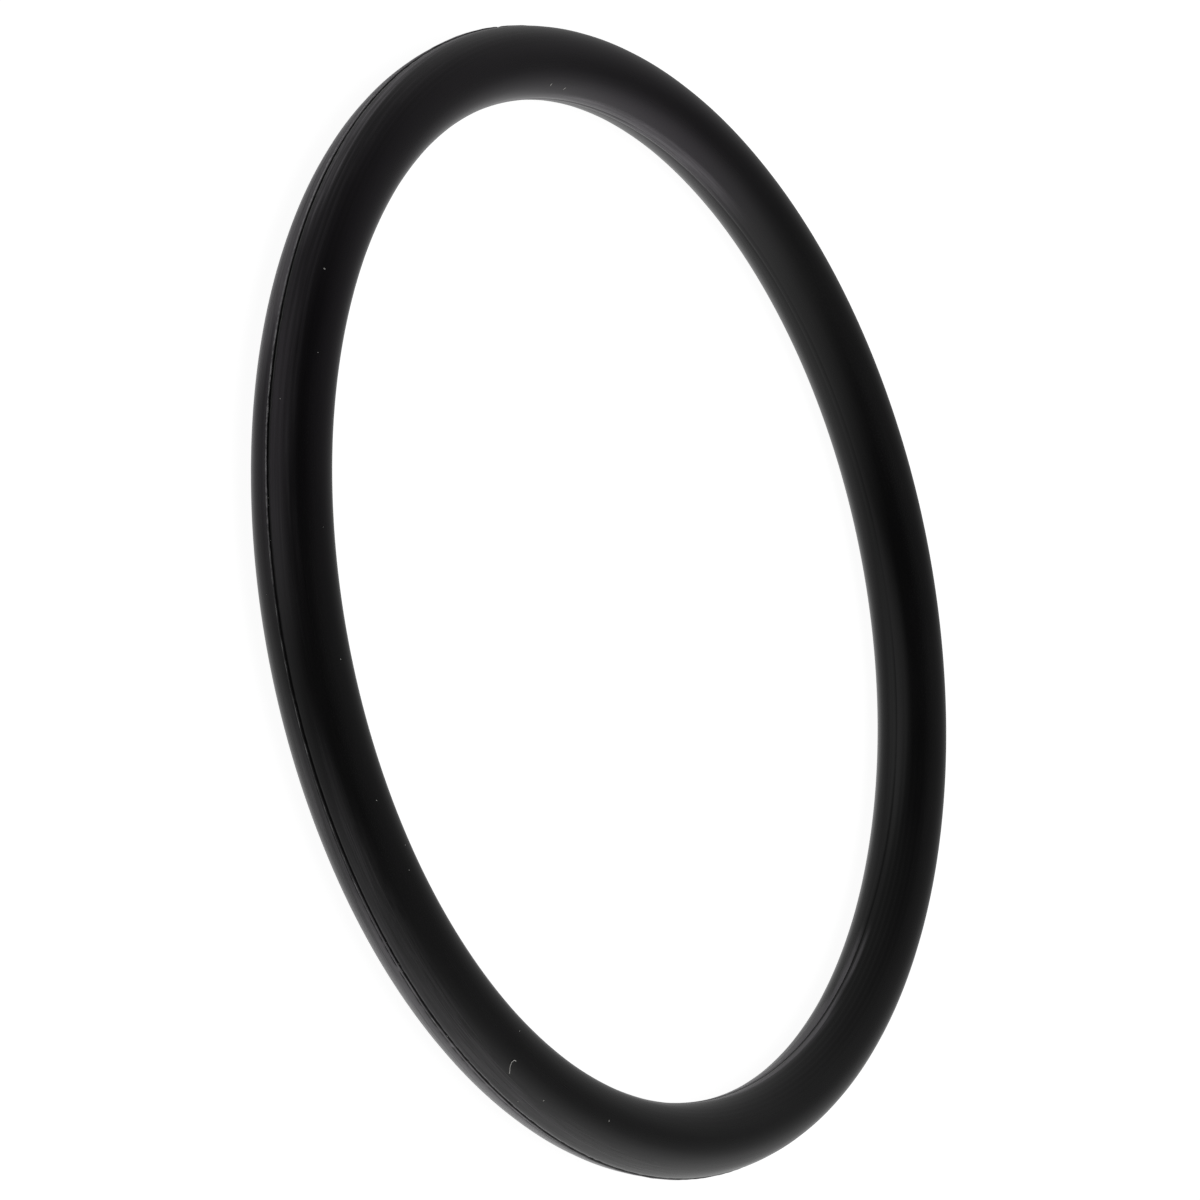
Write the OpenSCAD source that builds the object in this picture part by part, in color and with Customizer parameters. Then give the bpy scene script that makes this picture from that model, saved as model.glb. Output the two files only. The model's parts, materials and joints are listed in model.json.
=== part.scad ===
// Rubber o-ring: a ring of solid rubber cord, moulded in one piece between two flat plates.
// The ring lies flat on the XY plane's level, its axis is Z, and its origin is at its centre.

/* [Ring] */
// Inside diameter, between the rubber walls, without the flash
inside_d = 72.39; // [40:0.01:120]
// Diameter of the round cord section
section_d = 5.33; // [3:0.01:8]

/* [Mould line] */
// Height of the trimmed flash that stands out of the rim
rim_flash_h = 0.08; // [0.05:0.01:0.2]
// Height of the trimmed flash that stands into the bore
bore_flash_h = 0.08; // [0.05:0.01:0.2]
// Thickness of the flash, along the ring's axis
flash_t = 0.12; // [0.05:0.01:0.3]
// Sideways shift of the top plate's half of the ring against the bottom plate's half
plate_shift = 0.03; // [0.01:0.01:0.08]

/* [Hidden] */

// Facets of the preview, round the ring and round the cord
ring_facets = 144;
cord_facets = 36;

// Radius of the cord's centre line
cord_centre_r = (inside_d + section_d) / 2;
// Radii of the flash's crest at the rim and in the bore
rim_crest_r = inside_d / 2 + section_d + rim_flash_h;
bore_crest_r = inside_d / 2 - bore_flash_h;

// The round section of the cord, at its distance from the ring's axis
module cord_section() {
    translate([cord_centre_r, 0])
        circle(d = section_d, $fn = cord_facets);
}

// The half of the cord that one plate's groove forms, above the plates' joint
module half_cord() {
    rotate_extrude($fn = ring_facets)
        intersection() {
            cord_section();
            translate([cord_centre_r - section_d, flash_t / 2])
                square([2 * section_d, section_d]);
        }
}

// The slice of rubber between the plates: the middle of the cord, with the flash on both sides
module parting_slice() {
    difference() {
        cylinder(h = flash_t, r = rim_crest_r, center = true, $fn = ring_facets);
        cylinder(h = 3 * flash_t, r = bore_crest_r, center = true, $fn = ring_facets);
    }
}

// The ring as it leaves the mould, with its flash trimmed
module o_ring() {
    color([0.05, 0.05, 0.055])
        union() {
            translate([plate_shift / 2, 0, 0])
                half_cord();
            translate([-plate_shift / 2, 0, 0])
                mirror([0, 0, 1])
                    half_cord();
            parting_slice();
        }
}

o_ring();
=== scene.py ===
# The finish, the trimmed mould line, the wear, the painted highlights and painted shade, and the dust of a
# rubber o-ring that lies on a pale floor.
import json
import math
import random

import bmesh
import bpy
from mathutils import Matrix, Quaternion, Vector


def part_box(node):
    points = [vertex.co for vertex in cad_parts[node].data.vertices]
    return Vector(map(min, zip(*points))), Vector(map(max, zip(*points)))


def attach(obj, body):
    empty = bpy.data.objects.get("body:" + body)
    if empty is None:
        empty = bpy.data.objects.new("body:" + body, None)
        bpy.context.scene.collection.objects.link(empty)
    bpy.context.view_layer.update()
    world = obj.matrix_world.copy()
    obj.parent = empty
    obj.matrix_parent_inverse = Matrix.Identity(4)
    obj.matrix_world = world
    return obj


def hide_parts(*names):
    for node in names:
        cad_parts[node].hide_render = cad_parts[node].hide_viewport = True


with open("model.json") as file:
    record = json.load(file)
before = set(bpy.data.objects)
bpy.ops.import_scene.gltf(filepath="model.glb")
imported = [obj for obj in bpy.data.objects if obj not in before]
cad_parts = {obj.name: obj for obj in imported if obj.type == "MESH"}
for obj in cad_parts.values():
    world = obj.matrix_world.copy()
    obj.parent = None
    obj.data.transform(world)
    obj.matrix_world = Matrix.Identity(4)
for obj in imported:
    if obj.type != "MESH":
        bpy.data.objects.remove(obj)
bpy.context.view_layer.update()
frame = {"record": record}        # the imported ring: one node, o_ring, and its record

MM = 0.001               # the scene is in metres and the ring's own sizes are in millimetres

# Sizes of the ring, from the frame: its two mounts touch the crests of the mould flash
ring_low, ring_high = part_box("o_ring")
mounts = {mount["name"]: mount["dims"] for mount in frame["record"]["mounts"]}
RIM_CREST_R = mounts["rim"]["r_mm"]
BORE_CREST_R = mounts["bore"]["r_mm"]
CORD_R = (ring_high.z - ring_low.z) / 2 / MM
CENTRE_R = (RIM_CREST_R + BORE_CREST_R) / 2
FLASH_H = (RIM_CREST_R - BORE_CREST_R) / 2 - CORD_R
PLATE_SHIFT = 0.03       # mm that the two mould halves are out of line

# Fineness of the ring's mesh
ROUND_STEPS = 1190       # sections round the ring
ARC_STEPS = 19           # points on each half of the cord

# Two angles in degrees give a place on the ring. The ring angle goes round the ring, from +X to +Y. The
# cord angle goes round the cord, from the rim at 0 over the top at 90 to the bore at 180.

# The mould line
LINE_PROFILE = [
    # mm from the middle plane, and how far the rubber stands out there, or with a minus is drawn back,
    # as a share of the flash's height
    (0.015, 1.00),
    (0.036, 0.93),
    (0.055, 0.55),
    (0.080, 0.05),
    (0.105, -0.37),
    (0.130, -0.64),
    (0.155, -0.76),
    (0.182, -0.66),
    (0.218, -0.34),
    (0.275, -0.12),
    (0.400, -0.04),
    (0.600, 0.00),
]
HOLLOW_UP = 0.12         # mm from the middle plane to the middle of the hollow, on the cord's surface
HOLLOW_RAGGED = 0.25     # how much the hollow's depth varies round the ring
BELOW_LINE = 0.3         # how much of the drawn-back hollow there is under the line
BORE_SPREAD = 0.6        # how much wider the worn line in the bore is than the one at the rim
BORE_CREST = 0.4         # how much of its crest the line in the bore has kept
BORE_SWAY = 0.3          # how much of the crest's straying there is in the bore
CREST_SWAY = 0.018       # mm that the crest strays up and down

# Faint stretches: the ring angle of the middle, mm along the rim to each side, and the share lost there
FAINT_HOLLOW = (268, 16, 0.6)
FAINT_BORE = (90, 45, 0.65)

# The flash's height at the rim and in the bore, as shares of its full height: the mean, and how ragged
RIM_FLASH = (0.86, 0.10)
BORE_FLASH = (0.42, 0.03)
FLASH_SWING = 0.14       # how much the height rises and falls in long waves
FLASH_LEAST = 0.08       # limits of the height, as shares of the full height
FLASH_MOST = 0.95

# Ring angles of the crumbs left standing on the crest, and of the places where the flash is torn away
RIM_BURRS = [254.2, 252.8, 297.2, 299.6, 308.8, 312.4, 323.5]
RIM_NICKS = [273.1, 300.4, 310.3, 183.0]
BURR_RISE = 0.5          # the height that a burr adds, as a share of the flash's full height
BURR_REACH = 0.22        # mm to each side of it
NICK_DROP = 0.9          # the height that a nick takes away, as a share of the flash's full height
NICK_REACH = 0.3         # mm to each side of it


# Small shapes of chance

def wander(seed, terms, slowest, fastest):
    """A smooth closed curve of ups and downs round the ring, about -1 to 1, as a function of the angle."""
    draw = random.Random(seed)
    waves = [(draw.randint(slowest, fastest), draw.uniform(0, math.tau)) for _ in range(terms)]
    scale = 1.0 / math.sqrt(terms)
    return lambda angle: scale * sum(math.sin(count * angle + phase) for count, phase in waves)


def angle_apart(one, other):
    """The angle between two directions round the ring, in radians, from 0 to pi."""
    return abs((one - other + math.pi) % math.tau - math.pi)


def bump_at(angle, places, width_mm):
    """1 at any of the places round the ring, falling to 0 within the width on each side."""
    reach = width_mm / RIM_CREST_R
    bumps = (max(0.0, 1 - angle_apart(angle, math.radians(place)) / reach) for place in places)
    return max(bumps, default=0.0)


def kept_at(angle, faint):
    """The share that a faint stretch leaves at the angle: 1 outside it, and least in its middle."""
    middle, reach_mm, lost = faint
    return 1 - lost * bump_at(angle, [middle], reach_mm)


# The ring

def flash_heights(seed, mean, ragged, burrs, nicks):
    """The trimmed flash's height in mm, as a function of the angle round the ring, in radians.

    The mean and the raggedness, its short ups and downs, are shares of the flash's full height.
    """
    slow, quick = wander(seed, 9, 3, 24), wander(seed + 1, 16, 60, 260)

    def height(angle):
        share = mean * (1 + FLASH_SWING * slow(angle) + ragged * quick(angle))
        share += BURR_RISE * bump_at(angle, burrs, BURR_REACH)
        share -= NICK_DROP * bump_at(angle, nicks, NICK_REACH)
        return FLASH_H * min(FLASH_MOST, max(FLASH_LEAST, share))
    return height


def line_side(height, crest, hollow, spread=0.0):
    """One side of the line, from its crest to the plain cord.

    Each point is (mm out from the cord's centre, mm up, share that moves with the mould half).
    """
    side = []
    for up, share in LINE_PROFILE:
        up *= 1 + spread * (1 - up / LINE_PROFILE[-1][0])
        stand = height * share * (crest if share > 0 else hollow)
        side.append((math.sqrt(CORD_R ** 2 - up ** 2) + stand, up, 1 - max(0.0, share)))
    return side


def cord_section(rim_h, bore_h, hollow):
    """The cord's whole section, anticlockwise from the bore, in points like those of line_side."""
    edge = math.asin(LINE_PROFILE[-1][0] / CORD_R)
    arc = [edge + (math.pi - 2 * edge) * step / (ARC_STEPS - 1) for step in range(1, ARC_STEPS - 1)]
    upper = [(CORD_R * math.cos(turn), CORD_R * math.sin(turn), 1) for turn in arc]
    lower = [(out, -up, -1) for out, up, _ in reversed(upper)]
    rim_above = line_side(rim_h, 1, hollow)
    rim_below = line_side(rim_h, 1, hollow * BELOW_LINE)
    rim_lower = [(out, -up, -moved) for out, up, moved in reversed(rim_below)]
    bore_above = line_side(bore_h, BORE_CREST, 1, BORE_SPREAD)
    bore_below = line_side(bore_h, BORE_CREST, BELOW_LINE, BORE_SPREAD)
    bore_upper = [(-out, up, moved) for out, up, moved in reversed(bore_above)]
    bore_lower = [(-out, -up, -moved) for out, up, moved in bore_below]
    return lower + rim_lower + rim_above + upper + bore_upper + bore_lower


def new_piece(name, data):
    """An object of the scene that shows the data."""
    piece = bpy.data.objects.new(name, data)
    bpy.context.scene.collection.objects.link(piece)
    return piece


def moulded_ring():
    """The whole ring as one closed mesh, with its flash standing at the rim and in the bore."""
    rim_height = flash_heights(11, *RIM_FLASH, RIM_BURRS, RIM_NICKS)
    bore_height = flash_heights(23, *BORE_FLASH, [], [])
    sway, ragged = wander(41, 16, 40, 200), wander(53, 20, 60, 380)
    points = []
    for step in range(ROUND_STEPS):
        angle = math.tau * step / ROUND_STEPS
        hollow = kept_at(angle, FAINT_HOLLOW) * (1 + HOLLOW_RAGGED * ragged(angle))
        bore_h = bore_height(angle) * kept_at(angle, FAINT_BORE)
        for out, up, moved in cord_section(rim_height(angle), bore_h, hollow):
            radius = CENTRE_R + out
            x = radius * math.cos(angle) + moved * PLATE_SHIFT / 2
            straying = sway(angle) * (1 - abs(moved)) * (1 if out > 0 else BORE_SWAY)
            z = up + CREST_SWAY * straying
            points.append((x * MM, radius * math.sin(angle) * MM, z * MM))
    count = len(points) // ROUND_STEPS
    faces = []
    for step in range(ROUND_STEPS):
        here, there = step * count, (step + 1) % ROUND_STEPS * count
        for i in range(count):
            j = (i + 1) % count
            faces.append((here + i, there + i, there + j, here + j))
    mesh = bpy.data.meshes.new("moulded_ring")
    mesh.from_pydata(points, [], faces)
    mesh.shade_smooth()
    return new_piece("moulded_ring", mesh)


# Nodes

def add_node(tree, kind, inputs=None, **settings):
    """A node with its settings, and its inputs given as values or as sockets to link."""
    made = tree.nodes.new(kind)
    for name, value in settings.items():
        setattr(made, name, value)
    for key, value in (inputs or {}).items():
        if isinstance(value, bpy.types.NodeSocket):
            tree.links.new(value, made.inputs[key])
        else:
            made.inputs[key].default_value = value
    return made


def calc(tree, operation, *values):
    """The result of a math node."""
    return add_node(tree, "ShaderNodeMath", dict(enumerate(values)), operation=operation).outputs[0]


def vector_node(tree, operation, *values):
    """A vector math node."""
    return add_node(tree, "ShaderNodeVectorMath", dict(enumerate(values)), operation=operation)


def ramp(tree, value, low, high, to_low, to_high, smooth=False):
    """The value taken from one range to another, and held at its ends."""
    kind = "SMOOTHSTEP" if smooth else "LINEAR"
    inputs = {"Value": value, "From Min": low, "From Max": high, "To Min": to_low, "To Max": to_high}
    return add_node(tree, "ShaderNodeMapRange", inputs, interpolation_type=kind).outputs["Result"]


def mixed(tree, factor, first, second):
    """The colour between two, each a value or a socket."""
    mix = add_node(tree, "ShaderNodeMix", {"Factor": factor}, data_type="RGBA")
    for key, colour in (("A", first), ("B", second)):
        if isinstance(colour, bpy.types.NodeSocket):
            tree.links.new(colour, mix.inputs[key])
        else:
            mix.inputs[key].default_value = (*colour, 1)
    return mix.outputs["Result"]


def bumped(tree, height, depth_mm, below=None):
    """The surface's slope from a height of 0 to 1 that stands for the depth in mm."""
    inputs = {"Height": height, "Distance": depth_mm * MM, "Strength": 1.0}
    if below is not None:
        inputs["Normal"] = below
    return add_node(tree, "ShaderNodeBump", inputs).outputs[0]


def blank_material(name):
    """A material with its Principled shader and nothing else: (material, tree, shader)."""
    material = bpy.data.materials.new(name)
    material.use_nodes = True
    tree = material.node_tree
    return material, tree, tree.nodes["Principled BSDF"]


# Ways over the rubber

def ring_ways(tree):
    """At each point of the ring: the unit direction round it, the angle round the cord, mm above the cord."""
    place = add_node(tree, "ShaderNodeTexCoord").outputs["Object"]
    apart = add_node(tree, "ShaderNodeSeparateXYZ", {0: place}).outputs
    flat = add_node(tree, "ShaderNodeCombineXYZ", {"X": apart["X"], "Y": apart["Y"]}).outputs[0]
    across = vector_node(tree, "LENGTH", flat).outputs["Value"]
    around = vector_node(tree, "NORMALIZE", flat).outputs[0]
    out = calc(tree, "SUBTRACT", across, CENTRE_R * MM)
    section = add_node(tree, "ShaderNodeCombineXYZ", {"X": out, "Y": apart["Z"]}).outputs[0]
    reach = vector_node(tree, "LENGTH", section).outputs["Value"]
    rise = calc(tree, "MULTIPLY_ADD", reach, 1 / MM, -CORD_R)
    return around, calc(tree, "ARCTAN2", apart["Z"], out), rise


def grain(tree, ways, length_mm, width_mm, offset, detail=2.0, waver=0.0):
    """Noise whose marks are about so long round the ring and so wide round the cord.

    Each noise has an offset of its own, so that no two are alike. The waver makes its marks wavy.
    """
    around, cord, _ = ways
    turned = add_node(
        tree, "ShaderNodeVectorMath", {0: around, "Scale": CENTRE_R / length_mm}, operation="SCALE")
    lift = calc(tree, "MULTIPLY_ADD", cord, CORD_R / width_mm, offset)
    lifted = add_node(tree, "ShaderNodeCombineXYZ", {"Z": lift}).outputs[0]
    spot = vector_node(tree, "ADD", turned.outputs[0], lifted).outputs[0]
    inputs = {"Vector": spot, "Scale": 1.0, "Detail": detail, "Distortion": waver}
    return add_node(tree, "ShaderNodeTexNoise", inputs).outputs[0]


def region(tree, ways, ring_deg, ring_half, cord_deg, cord_half):
    """1 in the middle of a stretch of the ring, falling softly to 0 at its limits along and across."""
    around, cord, _ = ways
    turn = math.radians(ring_deg)
    middle = (math.cos(turn), math.sin(turn), 0)
    near = vector_node(tree, "DOT_PRODUCT", around, middle).outputs["Value"]
    inner = math.cos(math.radians(ring_half) / 2)
    along = ramp(tree, near, math.cos(math.radians(ring_half)), inner, 0, 1, smooth=True)
    off = calc(tree, "SUBTRACT", cord, math.radians(cord_deg))
    off = calc(tree, "ABSOLUTE", calc(tree, "WRAP", off, math.pi, -math.pi))
    side = ramp(tree, off, math.radians(cord_half) / 2, math.radians(cord_half), 1, 0, smooth=True)
    return calc(tree, "MULTIPLY", along, side)


def strength_over(tree, ways, places, everywhere):
    """A strength for the whole ring, with more of it in the places, each with its own share."""
    total = everywhere
    for *place, share in places:
        total = calc(tree, "MULTIPLY_ADD", region(tree, ways, *place), share, total)
    return total


# Black rubber

# Places on the rubber: ring angle and its reach, cord angle and its reach, and the strength there
# Rubbed streaks: partly real scuffs and partly painted streaky highlights where the gloss shows bright
# streaks
RUBBED_AND_HIGHLIGHT_PLACES = [
    (199, 24, 18, 38, 1.0),
    (317, 36, 14, 38, 1.0),
]
RUBBED_AND_HIGHLIGHT_ELSEWHERE = 0.04
# Painted highlights: pale grey patches in the rubber's colour, put where the gloss shows bright reflections
# along the rim and in the bore
PAINTED_HIGHLIGHT_PLACES = [
    (324, 34, -20, 30, 1.7),
    (300, 30, -24, 28, 0.6),
    (217, 30, -20, 30, 1.35),
    (204, 20, 4, 20, 1.8),
    (213, 18, 8, 20, 0.9),
    (305, 34, 10, 28, 0.15),
    (240, 30, 14, 34, 0.14),
    (158, 24, 175, 20, 0.6),
    (10, 19, 178, 21, 3.4),
    (26, 15, 178, 15, 1.5),
]
# Painted highlight along the crest of the mould line
CREST_HIGHLIGHT_PLACES = [
    (213, 14, 0, 20, 0.5),
    (232, 34, 0, 20, 0.8),
]
CREST_HIGHLIGHT_ELSEWHERE = 0.03
VIOLET_PLACE = (200, 75, 60, 200)    # a place without a strength

DEEP_BLACK = (0.0022, 0.0021, 0.0024)
SOFT_BLACK = (0.0042, 0.0040, 0.0043)
# Partly the colour of rubbed scuffs and partly painted streaky highlight
RUBBED_AND_HIGHLIGHT_COLOUR = (0.054, 0.052, 0.054)
# Painted highlight: the pale grey of the highlight patches
PAINTED_HIGHLIGHT_GREY = (0.30, 0.285, 0.305)
# Painted highlight: the pale colour of the line's crest
CREST_HIGHLIGHT_COLOUR = (0.60, 0.59, 0.60)
PLAIN_GLOSS = (1, 1, 1)
# Painted reflection colour: a violet tint of the gloss in one stretch, in place of violet in the light that
# it mirrors
VIOLET_PAINTED_REFLECTION = (0.97, 0.87, 1.0)
# Painted shade: the gloss dulled in the hollow over the line
HOLLOW_PAINTED_SHADE = (0.45, 0.45, 0.45)


def outside_hollow(tree, ways):
    """1, falling to 0 in the hollow over the line, where nothing rubs and little light reaches; the gloss is
    dulled there as painted shade.
    """
    _, cord, rise = ways
    off = calc(tree, "ABSOLUTE", calc(tree, "MULTIPLY_ADD", cord, CORD_R, -HOLLOW_UP))
    return calc(tree, "MULTIPLY", ramp(tree, off, 0.040, 0.075, 0, 1), ramp(tree, rise, -0.024, -0.010, 0, 1))


def rubbed_and_highlight_lines(tree, ways, streaks, cloud):
    """Streaks and wavy smears along the ring, mostly on the long stretches just above the line: partly real
    scuffs and partly painted streaky highlights.
    """
    smears = ramp(tree, grain(tree, ways, 1.8, 0.35, 200.0, waver=0.8), 0.40, 0.66, 0, 0.45)
    lines = calc(tree, "MAXIMUM", ramp(tree, streaks, 0.42, 0.68, 0, 0.8), smears)
    lines = calc(tree, "MULTIPLY", lines, strength_over(tree, ways, RUBBED_AND_HIGHLIGHT_PLACES, RUBBED_AND_HIGHLIGHT_ELSEWHERE))
    return calc(tree, "MULTIPLY", lines, ramp(tree, cloud, 0.35, 0.6, 0.35, 1))


def painted_highlight_patches(tree, ways, streaks):
    """Painted highlights: patches of pale grey in the rubber's colour where its gloss shows bright
    reflections, broken by fine streaks and by broader stripes.
    """
    stripes = grain(tree, ways, 12.0, 0.45, 240.0, waver=0.4)
    grey = strength_over(tree, ways, PAINTED_HIGHLIGHT_PLACES, 0.0)
    grey = calc(tree, "MULTIPLY", grey, ramp(tree, streaks, 0.35, 0.65, 0.5, 1))
    return calc(tree, "MULTIPLY", grey, ramp(tree, stripes, 0.38, 0.58, 0.35, 1))


def painted_crest_highlight(tree, ways):
    """Painted highlight: the pale crest of the line, broken into flecks."""
    crest = ramp(tree, ways[2], 0.038, 0.060, 0, 1)
    crest = calc(tree, "MULTIPLY", crest, strength_over(tree, ways, CREST_HIGHLIGHT_PLACES, CREST_HIGHLIGHT_ELSEWHERE))
    flecks = grain(tree, ways, 0.35, 0.2, 160.0)
    return calc(tree, "MULTIPLY", crest, ramp(tree, flecks, 0.35, 0.6, 0.25, 1))


def black_rubber():
    """Satin black rubber with rubbed streaks that are partly painted highlights, patches of painted
    highlight, a painted highlight on the line's crest, painted violet in its gloss and painted shade in the
    hollow.
    """
    material, tree, shader = blank_material("black_rubber")
    ways = ring_ways(tree)
    streaks = grain(tree, ways, 6.0, 0.16, 0.0, detail=3.0, waver=0.5)
    bands = grain(tree, ways, 30.0, 0.7, 40.0)
    pores = grain(tree, ways, 0.12, 0.12, 80.0)
    cloud = grain(tree, ways, 9.0, 2.5, 120.0)
    outside = outside_hollow(tree, ways)
    lines = calc(tree, "MULTIPLY", rubbed_and_highlight_lines(tree, ways, streaks, cloud), outside)
    grey = calc(tree, "MULTIPLY", painted_highlight_patches(tree, ways, streaks), outside)

    colour = mixed(tree, ramp(tree, cloud, 0.35, 0.75, 0, 1), DEEP_BLACK, SOFT_BLACK)
    # Rubbed streaks, partly painted streaky highlights
    colour = mixed(tree, lines, colour, RUBBED_AND_HIGHLIGHT_COLOUR)
    # Painted highlights: the pale grey patches
    colour = mixed(tree, grey, colour, PAINTED_HIGHLIGHT_GREY)
    # Painted highlight on the crest of the mould line
    colour = mixed(tree, painted_crest_highlight(tree, ways), colour, CREST_HIGHLIGHT_COLOUR)
    tree.links.new(colour, shader.inputs["Base Color"])

    rough = ramp(tree, bands, 0.3, 0.7, 0.22, 0.29)
    tree.links.new(calc(tree, "MULTIPLY_ADD", lines, 0.08, rough), shader.inputs["Roughness"])

    slope = bumped(tree, lines, 0.010)
    slope = bumped(tree, bands, 0.006, slope)
    slope = bumped(tree, pores, 0.0010, slope)
    tree.links.new(slope, shader.inputs["Normal"])

    shader.inputs["IOR"].default_value = 1.5
    # Painted reflection colour: the gloss tinted violet in one stretch
    gloss = mixed(tree, region(tree, ways, *VIOLET_PLACE), PLAIN_GLOSS, VIOLET_PAINTED_REFLECTION)
    # Painted shade: the gloss is dulled in the hollow over the line
    tree.links.new(mixed(tree, outside, HOLLOW_PAINTED_SHADE, gloss), shader.inputs["Specular Tint"])
    return material


# Dust and lint

DUST = [
    # ring angle, cord angle, length mm, width mm, turn on the surface in degrees
    (231.7, 52.3, 0.16, 0.10, 80),
    (240.6, 66.5, 0.07, 0.045, 20),
    (245.7, 18.7, 0.09, 0.06, 0),
    (257.8, 84.1, 0.05, 0.03, 60),
    (263.5, -16.5, 0.06, 0.05, 10),
    (270.5, 82.6, 0.08, 0.06, 40),
    (284.3, 75.7, 0.09, 0.06, 30),
    (289.8, 98.5, 0.10, 0.05, 75),
    (292.0, 82.8, 0.08, 0.06, 15),
    (314.3, 96.6, 0.09, 0.06, 50),
    (319.9, 16.2, 0.10, 0.07, 60),
    (321.7, 43.3, 0.15, 0.08, 85),
    (331.1, 73.5, 0.15, 0.09, 85),
    (179.3, 139.1, 0.30, 0.08, 70),
    (176.1, 145.5, 0.30, 0.08, 60),
    (252.8, 1.3, 0.05, 0.03, 10),
    (254.9, 2.4, 0.10, 0.03, 60),
    (255.6, 2.9, 0.05, 0.03, 0),
    (258.8, 2.0, 0.04, 0.03, 20),
    (297.3, 2.3, 0.06, 0.03, 0),
    (299.8, 2.6, 0.08, 0.04, 40),
    (300.7, 1.8, 0.05, 0.03, 15),
    (309.0, 2.2, 0.10, 0.05, 20),
    (312.7, 2.0, 0.08, 0.05, 70),
]
DUST_HEIGHT = 0.6        # height of a speck, as a share of its width
DUST_LEAST = 0.8         # how uneven a speck is: limits of each corner's distance, as shares
DUST_MOST = 1.15
DUST_COLOUR = (0.75, 0.74, 0.70)
DUST_PATCH = 0.04        # mm

LINT_D = 0.055           # mm
LINT_PATH = [
    # ring angle, cord angle, height over the rubber in mm
    (315.66, 57.3, 0.03),
    (315.46, 56.8, 0.04),
    (315.36, 55.2, 0.05),
    (315.36, 52.3, 0.04),
    (315.48, 48.6, 0.03),
    (315.70, 45.0, 0.02),
    (315.95, 41.8, 0.02),
    (316.22, 38.5, 0.02),
]
LINT_COLOUR = (0.85, 0.84, 0.80)
LINT_PATCH = 0.15        # mm
PATCH_SHADE = 0.6        # how dark the darkest patches are, as a share of the colour


def on_cord(ring_deg, cord_deg, lift=0.0):
    """A point on the rubber, or lifted off it by so many mm, and the way out of the rubber there."""
    ring, cord = math.radians(ring_deg), math.radians(cord_deg)
    outwards = Vector((math.cos(ring), math.sin(ring), 0))
    normal = outwards * math.cos(cord) + Vector((0, 0, 1)) * math.sin(cord)
    return (outwards * CENTRE_R + normal * (CORD_R + lift)) * MM, normal


def dust_specks():
    """Crumbs of dust stuck to the rubber, each an uneven lump sunk by half into its place."""
    shape = bmesh.new()
    draw = random.Random(5)
    for ring_deg, cord_deg, length, width, turn in DUST:
        place, normal = on_cord(ring_deg, cord_deg)
        along = Vector((-math.sin(math.radians(ring_deg)), math.cos(math.radians(ring_deg)), 0))
        side = normal.cross(along)
        axes = Matrix((along, side, normal)).transposed() @ Matrix.Rotation(math.radians(turn), 3, "Z")
        made = bmesh.ops.create_icosphere(shape, subdivisions=2, radius=0.5)["verts"]
        for vertex in made:
            lump = vertex.co * draw.uniform(DUST_LEAST, DUST_MOST)
            lump = Vector((lump.x * length, lump.y * width, lump.z * width * DUST_HEIGHT))
            vertex.co = place + axes @ lump * MM
    mesh = bpy.data.meshes.new("dust_specks")
    shape.to_mesh(mesh)
    shape.free()
    mesh.shade_smooth()
    return new_piece("dust_specks", mesh)


def lint_fibre():
    """A curled end of lint that lies on the rubber."""
    curve = bpy.data.curves.new("lint_fibre", "CURVE")
    curve.dimensions = "3D"
    curve.bevel_depth = LINT_D / 2 * MM
    curve.bevel_resolution = 2
    curve.resolution_u = 6
    curve.use_fill_caps = True
    spline = curve.splines.new("BEZIER")
    spline.bezier_points.add(len(LINT_PATH) - 1)
    for point, (ring_deg, cord_deg, lift) in zip(spline.bezier_points, LINT_PATH):
        point.co, _ = on_cord(ring_deg, cord_deg, lift)
        point.handle_left_type = point.handle_right_type = "AUTO"
    return new_piece("lint_fibre", curve)


def pale_dust(name, colour, patch_mm):
    """Dull pale dust, darker in small patches."""
    material, tree, shader = blank_material(name)
    place = add_node(tree, "ShaderNodeTexCoord").outputs["Object"]
    patches = add_node(tree, "ShaderNodeTexNoise", {"Vector": place, "Scale": 1 / (patch_mm * MM)}).outputs[0]
    shaded = [channel * PATCH_SHADE for channel in colour]
    tree.links.new(mixed(tree, patches, shaded, colour), shader.inputs["Base Color"])
    shader.inputs["Roughness"].default_value = 0.9
    return material


# Light

GLOWS = [
    # where its middle is: degrees from the far side towards +X, degrees up; how wide in degrees; how strong
    (90, -30, 100, 0.50),
    (75, 0, 50, 0.22),
    (30, 45, 70, 0.10),
    (-60, -30, 100, 0.23),
    (-148, -14, 45, 0.36),
    (20, -50, 45, 0.22),
]
ROOM = 0.05                     # the dim even light of the rest of the room
LAMP_PLACE = (0.1, 0.05, 0.6)   # metres
LAMP_WIDTH = 0.7                # metres
LAMP_POWER = 1.6                # watts


def soft_world():
    """A dim room with broad soft glows, the strongest low on the +X side. The camera sees plain white."""
    world = bpy.data.worlds.new("soft_room")
    bpy.context.scene.world = world
    world.use_nodes = True
    world.cycles.sampling_method = "NONE"
    tree = world.node_tree
    way = add_node(tree, "ShaderNodeTexCoord").outputs["Generated"]
    total = ROOM
    for side_deg, up_deg, reach_deg, strength in GLOWS:
        side, up = math.radians(side_deg), math.radians(up_deg)
        middle = (math.sin(side) * math.cos(up), math.cos(side) * math.cos(up), math.sin(up))
        near = vector_node(tree, "DOT_PRODUCT", way, middle).outputs["Value"]
        edge = math.cos(math.radians(reach_deg))
        total = calc(tree, "ADD", ramp(tree, near, edge, 1, 0, strength, smooth=True), total)
    seen = add_node(tree, "ShaderNodeLightPath").outputs["Is Camera Ray"]
    background = tree.nodes["Background"]
    background.inputs["Color"].default_value = (1, 1, 1, 1)
    tree.links.new(calc(tree, "MAXIMUM", total, seen), background.inputs["Strength"])


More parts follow.
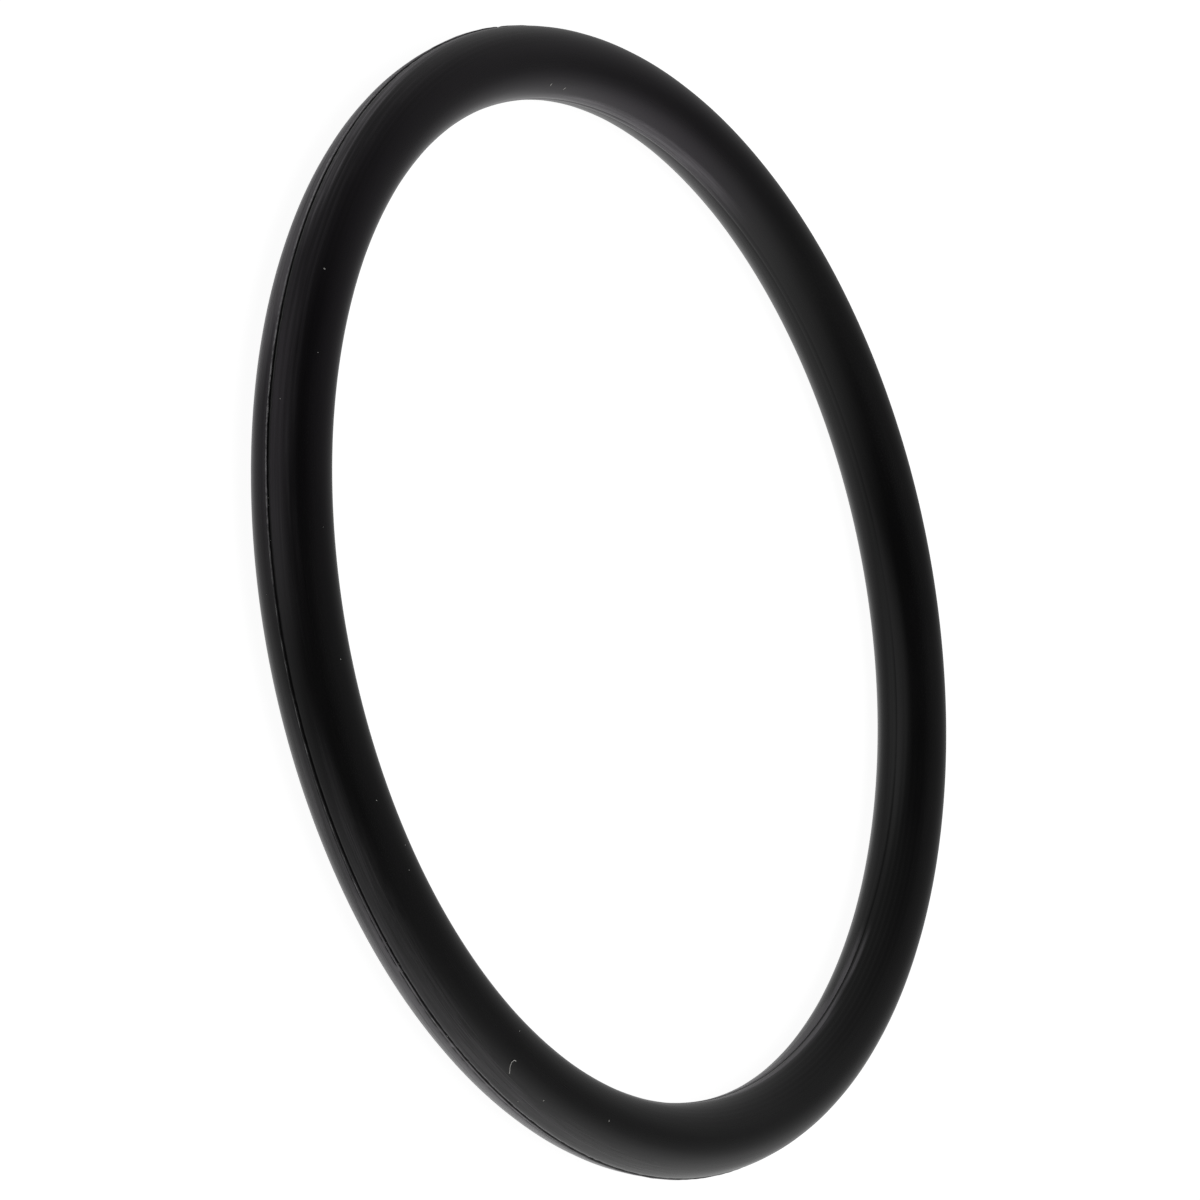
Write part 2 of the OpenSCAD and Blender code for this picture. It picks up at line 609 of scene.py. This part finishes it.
def overhead_lamp():
    """A large soft lamp above that gives plain even light, and that the rubber's gloss doesn't mirror."""
    lamp = bpy.data.lights.new("overhead_lamp", "AREA")
    lamp.shape = "DISK"
    lamp.size = LAMP_WIDTH
    lamp.energy = LAMP_POWER
    piece = new_piece("overhead_lamp", lamp)
    piece.location = LAMP_PLACE
    piece.rotation_mode = "QUATERNION"
    piece.rotation_quaternion = (-piece.location).to_track_quat("-Z", "Y")
    piece.visible_glossy = False


# Floor

FLOOR_HALF = 3.0                # metres
FLOOR_GREY = 0.25               # the floor's own colour
FLOOR_SEEN = 0.95               # what the camera sees the floor give of itself, where 1 is white


def pale_floor():
    """A wide floor that the camera sees as white, and that keeps the ring's shadow."""
    z = ring_low.z
    corners = [(x * FLOOR_HALF, y * FLOOR_HALF, z) for x, y in ((-1, -1), (1, -1), (1, 1), (-1, 1))]
    mesh = bpy.data.meshes.new("floor")
    mesh.from_pydata(corners, [], [(0, 1, 2, 3)])
    floor = new_piece("floor", mesh)
    floor.visible_glossy = False
    material, tree, shader = blank_material("pale_floor")
    shader.inputs["Base Color"].default_value = (FLOOR_GREY, FLOOR_GREY, FLOOR_GREY, 1)
    shader.inputs["Roughness"].default_value = 1.0
    shader.inputs["Specular IOR Level"].default_value = 0.0
    seen = add_node(tree, "ShaderNodeLightPath").outputs["Is Camera Ray"]
    shader.inputs["Emission Color"].default_value = (1, 1, 1, 1)
    tree.links.new(calc(tree, "MULTIPLY", seen, FLOOR_SEEN), shader.inputs["Emission Strength"])
    mesh.materials.append(material)


# Camera

CAMERA_BACK = 302.07     # mm in front of the ring's axis, along -Y
CAMERA_UP = 194.39       # mm above the ring's middle plane
AIM = (-0.15, -3.7, 0)   # mm, the point that the picture's middle looks at
ROLL = 78.74             # degrees that the picture is turned, which makes the ring look upright
LENS = 150.94            # mm
SENSOR = 36              # mm wide


def photo_camera():
    """Looks down on the ring from its near side, at the photograph's angle to it, and turned on its side."""
    data = bpy.data.cameras.new("photo_camera")
    data.lens = LENS
    data.sensor_width = SENSOR
    data.clip_start, data.clip_end = 0.01, 20
    camera = new_piece("photo_camera", data)
    camera.location = Vector((0, -CAMERA_BACK, CAMERA_UP)) * MM
    forward = Vector(AIM) * MM - camera.location
    turned = Quaternion((0, 0, 1), math.radians(ROLL))
    camera.rotation_mode = "QUATERNION"
    camera.rotation_quaternion = forward.to_track_quat("-Z", "Y") @ turned
    bpy.context.scene.camera = camera


# Everything together

ring = moulded_ring()
ring.data.materials.append(black_rubber())
ring.visible_glossy = False     # seen in its own gloss, the ring would darken its bore
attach(ring, "root")
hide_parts("o_ring")

dust = dust_specks()
dust.data.materials.append(pale_dust("pale_dust", DUST_COLOUR, DUST_PATCH))
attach(dust, "root")

lint = lint_fibre()
lint.data.materials.append(pale_dust("white_lint", LINT_COLOUR, LINT_PATCH))
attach(lint, "root")

soft_world()
overhead_lamp()
pale_floor()
photo_camera()
bpy.context.scene.view_settings.view_transform = "Standard"
